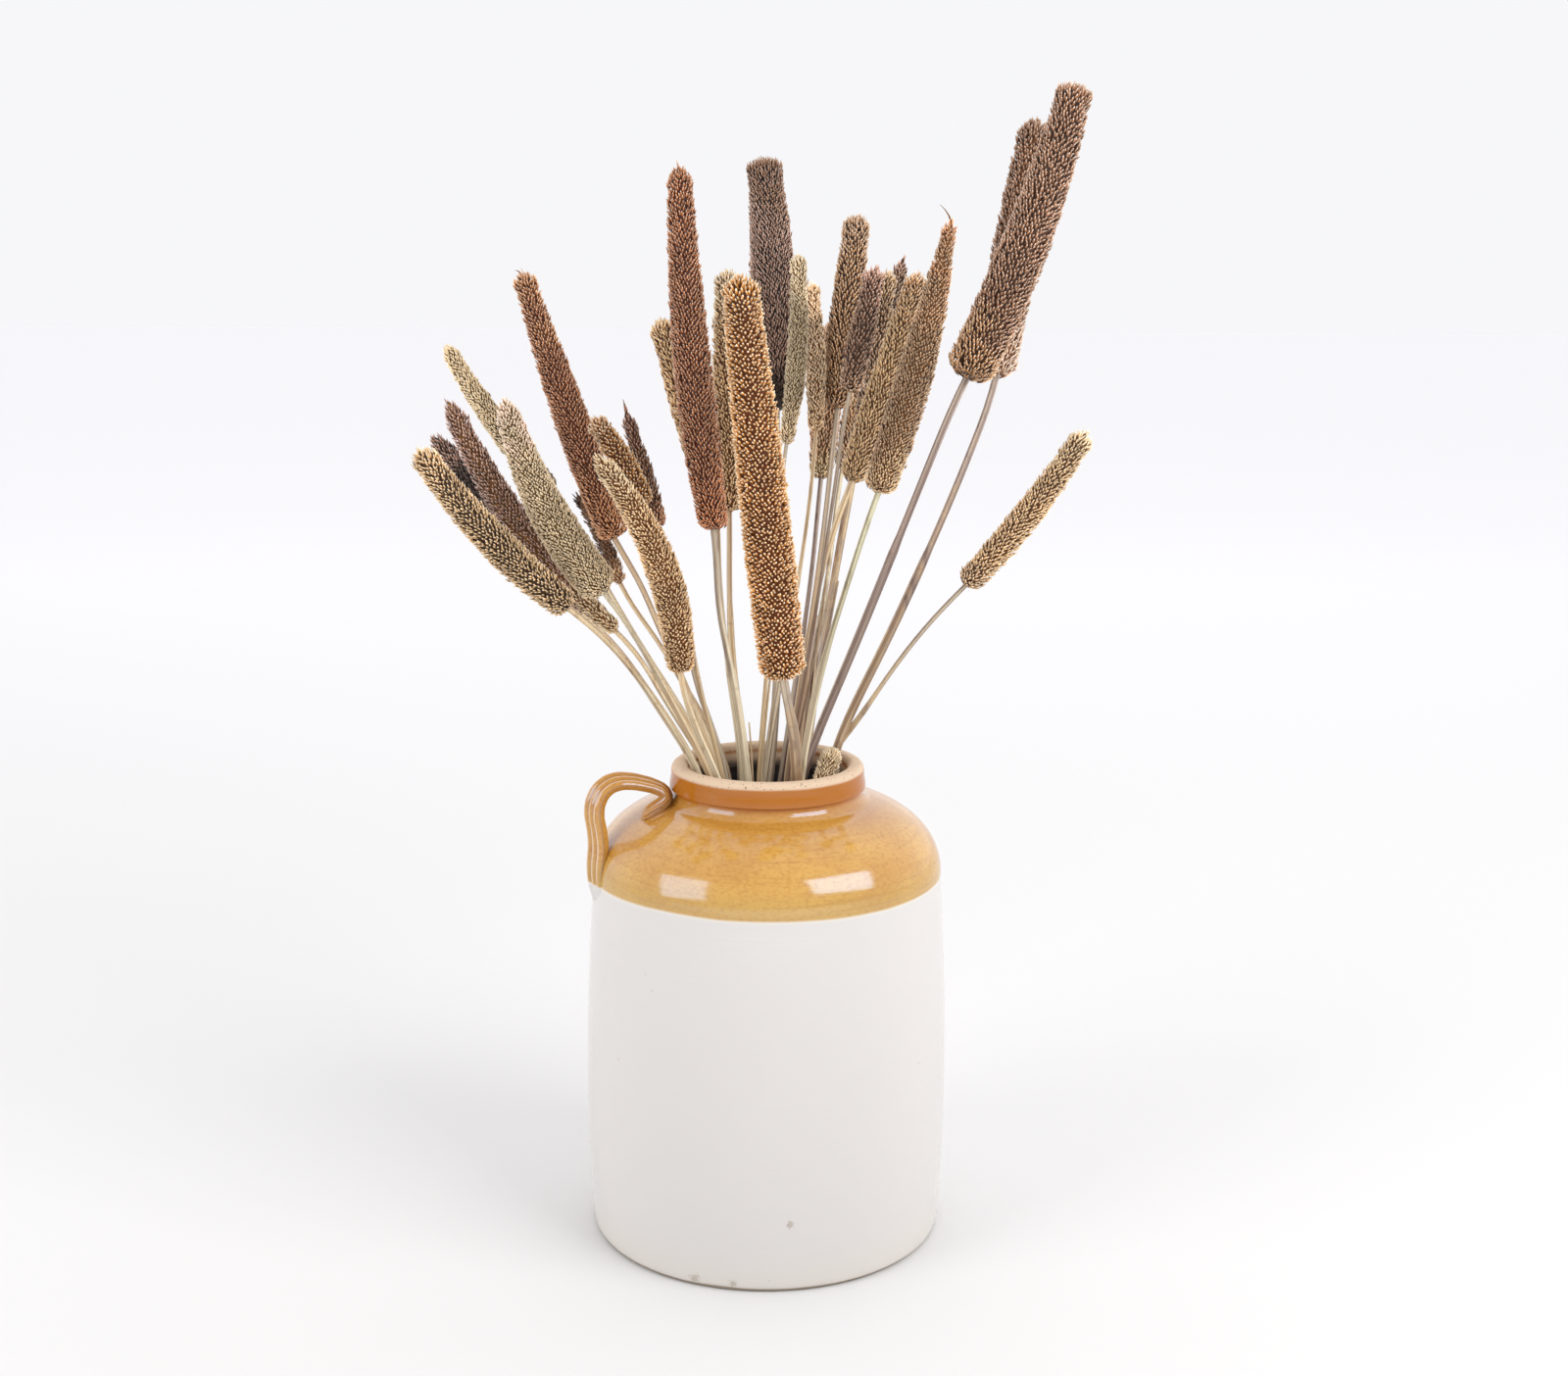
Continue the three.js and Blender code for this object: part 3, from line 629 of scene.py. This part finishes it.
# How the husks lie: the spread of their seats, lean and sway, how much more they lean ahead where the spike
# tapers, and how unevenly their ends stand out, in spacings.
seat_spread = 0.11
lean_spread = 0.18
sway_spread = 0.15
taper_lean = 0.3
end_rise = 0.05
end_spread = 0.2

# At the foot they splay over a short stretch, and the frayed ones splay more and are longer and thinner.
foot_splay = 0.7
foot_stretch = 0.008
frayed_splay = 0.6
frayed_growth = 2.2
frayed_thinning = 0.4

# At the tip, over a stretch given in radii, they turn ahead, grow by such a share and reach farther out.
tip_stretch = 1.3
tip_lean = math.radians(84)
tip_growth = (-0.1, 1.5)
tip_reach = 0.35

# A husk's length in spacings, standing upright and the part that leaning adds, and how unlike husks are.
upright_length = 1.55
leaning_length = 0.8
unlike_widths = (0.88, 1.12)
unlike_lengths = (0.88, 1.15)

# How a spike closes in: the domed tip and the rounded edge of the foot, each so many radii long but at most
# a share of the spike, and how strongly each draws the very end in.
dome_radii = 0.7
dome_limit = 0.4
dome_cut = 0.9
edge_radii = 0.5
edge_limit = 0.2
edge_cut = 0.8

# Each finish is three colours: painted shade in the gaps, of the husks, and of their pale ends, painted paler
# as a highlight.
husk_finishes = {
    "gold": ("7c4e1c", "f2cc96", "f6ecda"),
    "olive": ("40280c", "cca674", "f2ead4"),
    "sage": ("705428", "ecd0a0", "f4ead8"),
    "wheat": ("744616", "f6ca8e", "f8eed8"),
    "straw": ("805420", "f8dcae", "faf2de"),
    "tan": ("5e3b18", "e0b98a", "f6ecda"),
    "bronze": ("4c280a", "ca9866", "f0e6d0"),
    "copper": ("6e3804", "d0903e", "f6ecd2"),
    "chestnut": ("501d03", "c67c46", "f4dfca"),
    "rust": ("522406", "c68c5c", "f2d8bc"),
    "umber": ("3c1906", "ac7b57", "eedac8"),
    "bark": ("4a280c", "caa078", "f4e8da"),
    "dusk": ("3e2011", "ae8872", "dccac0"),
    "plum": ("2f150c", "9e745c", "e0ccc4"),
    "blush": ("7e4e28", "f4d6ba", "faf0e8"),
}

# Each spike's finish and how pale it is, at its foot, in its middle and at its tip, then how far apart its
# husks stand in millimetres and how many degrees they lean to the tip.
spike_finishes = {
    "01": (("olive", 1.20), ("olive", 1.20), ("gold", 1.05), 2.2, 50),
    "02": (("bronze", 0.42), ("plum", 0.19), ("plum", 0.90), 2.25, 56),
    "03": (("sage", 0.52), ("sage", 0.94), ("sage", 1.20), 1.8, 58),
    "04": (("straw", 1.10), ("plum", 0.95), ("plum", 1.12), 2.2, 53),
    "05": (("sage", 1.20), ("sage", 0.85), ("blush", 1.15), 1.7, 56),
    "06": (("rust", 1.50), ("chestnut", 0.80), ("rust", 0.95), 2.15, 48),
    "07": (("tan", 2.20), ("umber", 0.46), ("umber", 0.12), 2.35, 53),
    "08": (("copper", 0.82), ("copper", 0.84), ("bronze", 0.88), 2.2, 37),
    "09": (("wheat", 1.08), ("wheat", 1.08), ("straw", 0.88), 1.95, 46),
    "10": (("umber", 1.90), ("umber", 0.72), ("plum", 1.30), 2.35, 58),
    "11": (("wheat", 0.65), ("wheat", 1.30), ("gold", 1.10), 2.25, 58),
    "12": (("chestnut", 1.30), ("chestnut", 0.78), ("chestnut", 0.84), 2.2, 50),
    "13": (("wheat", 1.00), ("wheat", 0.82), ("straw", 0.80), 2.25, 48),
    "14": (("copper", 1.12), ("copper", 1.16), ("copper", 0.94), 2.4, 34),
    "15": (("umber", 0.17), ("dusk", 1.12), ("umber", 0.72), 1.95, 58),
    "16": (("sage", 1.30), ("sage", 0.60), ("straw", 0.84), 1.55, 58),
    "17": (("wheat", 1.40), ("tan", 0.76), ("tan", 1.35), 1.8, 58),
    "18": (("sage", 1.10), ("bark", 1.80), ("bark", 1.28), 2.15, 58),
    "19": (("straw", 1.10), ("straw", 1.10), ("straw", 0.82), 1.8, 53),
    "20": (("bronze", 1.05), ("bronze", 1.00), ("bark", 1.00), 2.25, 56),
    "21": (("blush", 0.82), ("tan", 1.70), ("tan", 1.45), 2.15, 58),
    "22": (("bark", 1.15), ("umber", 0.66), ("plum", 1.45), 2.35, 58),
    "23": (("tan", 0.62), ("bark", 0.80), ("tan", 0.90), 2.25, 56),
    "24": (("bark", 1.00), ("bark", 0.63), ("dusk", 1.40), 2.25, 60),
    "25": (("wheat", 0.80), ("wheat", 0.80), ("bronze", 1.05), 2.0, 56),
    "26": (("gold", 1.00), ("bronze", 0.78), ("rust", 1.12), 1.85, 53),
    "27": (("blush", 1.20), ("umber", 0.84), ("umber", 0.78), 2.6, 50),
    "28": (("bronze", 1.20), ("umber", 0.95), ("umber", 0.98), 2.6, 50),
    "29": (("tan", 1.05), ("gold", 1.07), ("straw", 1.10), 2.15, 48),
}


# How far along a husk its rings of corners are: the belly and the end, or one ring between them.
belly_ring = 0.42
end_ring = 0.86
only_ring = 0.62


def husk_shape(rings, end_width):
    """One husk, its root at the origin, pointing along Z, a unit long and wide and narrower near its end."""
    bpy.ops.mesh.primitive_uv_sphere_add(segments=6 - rings, ring_count=rings + 1, radius=1)
    made = bpy.context.object
    corners = np.array([corner.co for corner in made.data.vertices])
    faces = [list(face.vertices) for face in made.data.polygons]
    bpy.data.objects.remove(made)
    levels = corners[:, 2]
    pole = np.abs(levels) > 0.9
    around = np.hypot(corners[:, 0], corners[:, 1])
    around[pole] = 1
    half_width = np.where(levels > 0.1, end_width, 0.5)
    shaped = corners * (np.where(pole, 0, half_width) / around)[:, None]
    bands = [levels > 0.9, levels < -0.9, levels > 0.1, levels < -0.1]
    shaped[:, 2] = np.select(bands, [1.0, 0.0, end_ring, belly_ring], only_ring)
    return shaped, faces


husk_shapes = {"plump": husk_shape(2, 0.38), "slim": husk_shape(2, 0.27), "fine": husk_shape(1, 0.42)}
form_steps = 400
knot_spacing = 0.018
outermost = 0.94
spine_points = 17
root_share = 0.8
least_spine = 0.66


def spike_form(node, foot):
    """Reads a spike's solid: its middle points from foot to tip, its radius at each and its length."""
    corners = corner_points(node)
    tip = corners[np.argmax(np.linalg.norm(corners - foot, axis=1))]
    base = corners[np.argmin(np.linalg.norm(corners - foot, axis=1))]
    length = np.linalg.norm(tip - base)
    along = (tip - base) / length
    shares = (corners - base) @ along / length
    aside = corners - base - np.outer(shares * length, along)
    bow = 4 * shares * (1 - shares)
    sag = (bow[:, None] * aside).sum(axis=0) / (bow ** 2).sum()
    steps = np.linspace(0, 1, form_steps)
    middles = base + np.outer(steps * length, along) + np.outer(4 * steps * (1 - steps), sag)
    reach = np.linalg.norm(aside - np.outer(bow, sag), axis=1)
    edges = np.linspace(0.0, 1.0, max(4, round(length / knot_spacing)) + 1)
    knots = []
    for low, high in zip(edges, edges[1:]):
        near = (shares >= low) & (shares < high)
        outer = near & (reach > outermost * reach[near].max())
        knots.append((shares[outer].mean(), reach[outer].mean()))
    places, radii = np.array(knots).T
    return middles, np.interp(steps, places, radii), length


def closed_in(radius, length, sharpness):
    """Rounds off both ends of a spike's radius: blunt at the foot, domed or drawn to a point at the tip."""
    steps = np.linspace(0, 1, len(radius))
    dome = min(dome_limit, dome_radii * sharpness * radius[-1] / length)
    foot = min(edge_limit, edge_radii * radius[0] / length)
    to_tip = np.clip((steps - 1 + dome) / dome, 0, 1)
    to_foot = np.clip((foot - steps) / foot, 0, 1)
    return radius * (1 - dome_cut * to_tip ** 2) * np.sqrt(1 - edge_cut * to_foot ** 2)


def unit(vectors):
    """The same directions, each one unit long."""
    return vectors / np.linalg.norm(vectors, axis=1, keepdims=True)


def husk_field(middles, radius, length, spacing, chance):
    """Seats husks evenly over a spike: how far along each is, its seat, and the ways ahead and outward."""
    fine = len(middles)
    ahead = unit(np.gradient(middles, axis=0))
    run = length / (fine - 1)
    slope = np.gradient(radius) / run
    area = 2 * np.pi * radius * run * np.hypot(1, slope)
    covered = np.concatenate([[0], np.cumsum((area[1:] + area[:-1]) / 2)])
    count = int(covered[-1] / (honeycomb_share * spacing ** 2))
    picks = (np.arange(count) + 0.5) / count * covered[-1]
    shift = chance.normal(0, seat_spread, count) * spacing * 2 * np.pi * radius.mean()
    picks = np.clip(picks + shift, 0, covered[-1])
    spots = np.interp(picks, covered, np.arange(fine))
    lower = np.minimum(spots.astype(int), fine - 2)
    part = (spots - lower)[:, None]
    centre = middles[lower] * (1 - part) + middles[lower + 1] * part
    forward = ahead[lower]
    girth = np.interp(spots, np.arange(fine), radius)
    turn = golden_turn * np.arange(count) + chance.normal(0, seat_spread, count) * spacing / girth
    level = np.array([0.0, 1.0, 0.0])
    side = unit(level - forward * (forward @ level)[:, None])
    outward = side * np.cos(turn)[:, None] + np.cross(forward, side) * np.sin(turn)[:, None]
    seat = centre + outward * girth[:, None]
    return spots / (fine - 1), seat, forward, outward, np.interp(spots, np.arange(fine), slope)


def stamp(name, shape, roots, pointing, sizes, values):
    """Sets a copy of one husk at every root: sizes are each one's length and width, values its attributes."""
    corners, faces = shape
    count, corner_count = len(roots), len(corners)
    first = unit(np.cross(pointing, np.array([0.3, 0.9, 0.2])))
    second = np.cross(pointing, first)
    long, wide = (size[:, None] for size in sizes)
    basis = np.stack([first * wide, second * wide, pointing * long], axis=1)
    placed = np.einsum("vk,nkc->nvc", corners, basis) + roots[:, None, :]
    loops = np.concatenate([np.array(face) for face in faces])
    face_sizes = np.tile([len(face) for face in faces], count)
    mesh = bpy.data.meshes.new(name)
    mesh.vertices.add(count * corner_count)
    mesh.vertices.foreach_set("co", placed.ravel())
    mesh.loops.add(len(loops) * count)
    all_loops = loops[None, :] + corner_count * np.arange(count)[:, None]
    mesh.loops.foreach_set("vertex_index", all_loops.ravel())
    mesh.polygons.add(len(face_sizes))
    mesh.polygons.foreach_set("loop_start", np.concatenate([[0], np.cumsum(face_sizes)[:-1]]))
    mesh.update(calc_edges=True)
    mesh.polygons.foreach_set("use_smooth", np.ones(len(face_sizes), bool))
    reach = mesh.attributes.new("reach", "FLOAT", "POINT")
    reach.data.foreach_set("value", np.tile(corners[:, 2], count))
    for label, amounts in values.items():
        layer = mesh.attributes.new(label, "FLOAT", "POINT")
        layer.data.foreach_set("value", np.repeat(amounts, corner_count))
    made = bpy.data.objects.new(name, mesh)
    bpy.context.scene.collection.objects.link(made)
    return made


def spike_made(number, node, foot, spacing, lean):
    """A whole spike: its spine and husks all over it, crowded ahead at its tip and splayed at its foot."""
    chance = np.random.default_rng(int(number))
    middles, radius, length = spike_form(node, foot)
    envelope = closed_in(radius, length, tip_sharpness.get(number, 1.0))
    share, seat, forward, outward, slope = husk_field(middles, envelope, length, spacing, chance)
    count = len(share)

    # At the tip the husks point ahead, and at the foot they splay and may be frayed.
    tipward = np.clip((share - 1) * length / (tip_stretch * radius[-1]) + 1, 0, 1) ** 2
    footward = np.clip(1 - share * length / foot_stretch, 0, 1)
    frayed = footward * chance.uniform(0, 1, count) * (number in frayed_spikes)
    tilt = lean + chance.normal(0, lean_spread, count) - foot_splay * footward - frayed_splay * frayed
    tilt = tilt + np.clip(-slope, 0, 1) * taper_lean
    tilt = tilt + (tip_lean - tilt) * tipward
    sway = chance.normal(0, sway_spread, count) * (1 + tipward)
    pointing = outward * np.cos(tilt)[:, None] + forward * np.sin(tilt)[:, None]
    pointing = unit(pointing + np.cross(forward, outward) * np.sin(sway)[:, None])

    # Husks grow longer to the tip and where they are frayed, and no two are quite alike.
    wide = spacing * husk_slimness * chance.uniform(*unlike_widths, count)
    usual_length = spacing * (upright_length + leaning_length * math.sin(lean))
    long = usual_length * chance.uniform(*unlike_lengths, count)
    long = long * (1 + tipward * chance.uniform(*tip_growth, count))
    long = long * (1 + frayed_growth * frayed)
    wide = wide * (1 - frayed_thinning * frayed)
    ends = seat + outward * (chance.normal(end_rise, end_spread, count) * spacing)[:, None]
    ends = ends + pointing * (tipward * long * tip_reach)[:, None]
    kind = "fine" if spacing < fine_spacing else "plump" if lean < upright_lean else "slim"
    values = {"tone": chance.uniform(0, 1, count), "along": share}
    roots = ends - pointing * long[:, None]
    husks = stamp("seedhead_" + number, husk_shapes[kind], roots, pointing, (long, wide), values)

    # The spine fills the spike up to the husks' roots.
    picks = np.linspace(0, len(middles) - 1, spine_points).astype(int)
    husk_depth = root_share * long.mean() * math.cos(lean)
    core_radius = np.maximum(envelope[picks] - husk_depth, least_spine * envelope[picks])
    core = rod("spine_" + number, middles[picks], core_radius, 2, 4)
    if number in awns:
        forward = unit(middles[-1:] - middles[-20:-19])[0]
        right = np.cross([0.0, 1.0, 0.0], forward)
        steps = np.array(awns[number]) / 1000
        points = [middles[-1] + forward * ahead + right * aside for ahead, aside in steps]
        awn = rod("awn_" + number, points, np.linspace(*awn_radii, len(points)), 4, 2)
        awn.select_set(True)
    core.select_set(True)
    husks.select_set(True)
    bpy.context.view_layer.objects.active = husks
    bpy.ops.object.join()
    husks.select_set(False)
    return husks


def husk_group():
    """Colours a husk from painted shade in the gap at its root to its pale end with a painted highlight, and
    a spike from its foot to its tip.
    """
    group = bpy.data.node_groups.new("dry_husk", "ShaderNodeTree")
    for part in ("Foot", "Middle", "Tip"):
        for depth in ("gap_shade", "husk", "end"):
            group.interface.new_socket(f"{part} {depth}", in_out="INPUT", socket_type="NodeSocketColor")
    group.interface.new_socket("Colour", in_out="OUTPUT", socket_type="NodeSocketColor")
    given = group.nodes.new("NodeGroupInput").outputs

    # How far along its husk a point is, the husk's own tone, and how far along the spike the husk sits.
    reach = attribute(group, "reach")
    tone = attribute(group, "tone")
    along = attribute(group, "along")
    place = wire(group, "ShaderNodeTexCoord").outputs["Object"]
    cloud = noise(group, place, 60.0, 2.0)
    drift = maths(group, along, between(group, cloud, 0.3, 0.7, -0.12, 0.12))
    low = between(group, drift, 0.28, 0.04)
    high = between(group, drift, 0.68, 0.96)
    depths = []
    for depth in ("gap_shade", "husk", "end"):
        colour = blend(group, low, given[f"Middle {depth}"], given[f"Foot {depth}"])
        depths.append(blend(group, high, colour, given[f"Tip {depth}"]))
    gap_shade, husk, end = depths
    # The gap colour is painted shade between the husks, and the end colour paints a highlight on their pale
    # ends.
    colour = blend(group, between(group, reach, 0.34, 0.68), gap_shade, husk)
    paler = between(group, tone, 0.0, 1.0, 0.75, 1.0)
    paler = maths(group, between(group, reach, 0.66, 1.0), paler, "MULTIPLY")
    colour = blend(group, paler, colour, end)
    husk_bright = between(group, tone, 0.0, 1.0, 0.82, 1.18)
    cloud_bright = between(group, cloud, 0.3, 0.7, 0.88, 1.1)
    bright = maths(group, husk_bright, cloud_bright, "MULTIPLY")
    shade = wire(group, "ShaderNodeCombineColor", {0: bright, 1: bright, 2: bright}).outputs[0]
    colour = blend(group, 1.0, colour, shade, "MULTIPLY")
    out = group.nodes.new("NodeGroupOutput")
    group.links.new(colour, out.inputs["Colour"])
    return group


dry_husk = husk_group()


def husk_material(number, finishes):
    material, tree, shader = new_material("husk_" + number, 0.55)
    shader.inputs["Sheen Weight"].default_value = 0.2
    shader.inputs["Sheen Roughness"].default_value = 0.4
    shader.inputs["Specular IOR Level"].default_value = 0.4
    painted = wire(tree, "ShaderNodeGroup", node_tree=dry_husk)
    for part, (finish, paleness) in zip(("Foot", "Middle", "Tip"), finishes):
        for depth, code in zip(("gap_shade", "husk", "end"), husk_finishes[finish]):
            plain = paint(code)[:3]
            level = min(husk_paleness * paleness, palest / max(plain))
            painted.inputs[f"{part} {depth}"].default_value = (*(level * share for share in plain), 1)
    tree.links.new(painted.outputs["Colour"], shader.inputs["Base Color"])
    return material


for number, (*finishes, apart, leaning) in spike_finishes.items():
    node_name = "spike_" + number
    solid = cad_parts[node_name]
    spike = spike_made(number, solid, stalk_tops[number], apart / 1000, math.radians(leaning))
    spike.data.materials.clear()
    spike.data.materials.append(husk_material(number, finishes))
    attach(spike, "root")
    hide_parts(node_name)


# The studio.
# White paper on the floor, which fades into a white room far off and behind the camera, a large soft box at
# either side of the camera, and the room's own soft light.
bpy.ops.mesh.primitive_plane_add(size=40, location=(0, 0, 0))
floor = bpy.context.object
floor.name = "studio_floor"
material, tree, shader = new_material("studio_paper", 0.9)
shader.inputs["Specular IOR Level"].default_value = 0.1

# The paper is painted greyer round the jar as shade, and it is painted to glow, though it is no lamp: a
# little where it meets the room and more near and behind the camera.
place = wire(tree, "ShaderNodeTexCoord").outputs["Object"]
backward = wire(tree, "ShaderNodeSeparateXYZ", {0: place}).outputs[1]
paler = maths(tree, between(tree, backward, -1.4, 3.0), between(tree, backward, -0.7, -2.2), "MAXIMUM")
painted_shade_paper = (0.66, 0.655, 0.65, 1)
far_paper = (0.99, 0.985, 0.99, 1)
paper = blend(tree, paler, painted_shade_paper, far_paper)
tree.links.new(paper, shader.inputs["Base Color"])
no_glow = (0, 0, 0, 1)
painted_far_glow = (0.034, 0.034, 0.05, 1)
painted_near_glow = (0.4, 0.4, 0.4, 1)
glow = blend(tree, between(tree, backward, 0.3, 3.0), no_glow, painted_far_glow)
glow = blend(tree, between(tree, backward, -0.9, -1.9), glow, painted_near_glow)
tree.links.new(glow, shader.inputs["Emission Color"])
shader.inputs["Emission Strength"].default_value = 1.0
floor.data.materials.append(material)
floor.select_set(False)


aim = Vector((0, 0, 0.25))
lamp_distance = 2.2


def soft_box(name, azimuth, elevation, width, height, power, roll):
    """A rectangular lamp that faces the jar: degrees to the camera's right and up, sizes in metres."""
    turn, rise = math.radians(azimuth), math.radians(elevation)
    way = Vector((math.sin(turn) * math.cos(rise), -math.cos(turn) * math.cos(rise), math.sin(rise)))
    data = bpy.data.lights.new(name, "AREA")
    data.shape = "RECTANGLE"
    data.size = width
    data.size_y = height
    data.energy = power
    lamp = bpy.data.objects.new(name, data)
    lamp.location = aim + lamp_distance * way
    lamp.rotation_euler = (way.to_track_quat("Z", "Y") @ Quaternion((0, 0, 1), math.radians(roll))).to_euler()
    bpy.context.scene.collection.objects.link(lamp)


soft_box("soft_box_left", azimuth=-58, elevation=21, width=1.24, height=1.25, power=19, roll=15)
soft_box("soft_box_right", azimuth=55, elevation=32, width=1.60, height=1.02, power=30, roll=-12)

# The room lights the jar more from behind than from the front, and the camera sees it as one pale tone.
room = bpy.data.worlds.new("studio_room")
room.use_nodes = True
bpy.context.scene.world = room
tree = room.node_tree
tree.nodes.clear()
way = wire(tree, "ShaderNodeTexCoord").outputs["Generated"]
depth = wire(tree, "ShaderNodeSeparateXYZ", {0: way}).outputs[1]
glow = between(tree, depth, -0.7, 0.8, 0.59, 1.28)
seen = wire(tree, "ShaderNodeBackground", {0: (0.93, 0.93, 0.95, 1), 1: 1.0})
lighting = wire(tree, "ShaderNodeBackground", {0: (0.985, 0.98, 0.99, 1), 1: glow})
straight = wire(tree, "ShaderNodeLightPath").outputs["Is Camera Ray"]
mixed = wire(tree, "ShaderNodeMixShader", {0: straight, 1: lighting.outputs[0], 2: seen.outputs[0]})
wire(tree, "ShaderNodeOutputWorld", {0: mixed.outputs[0]})
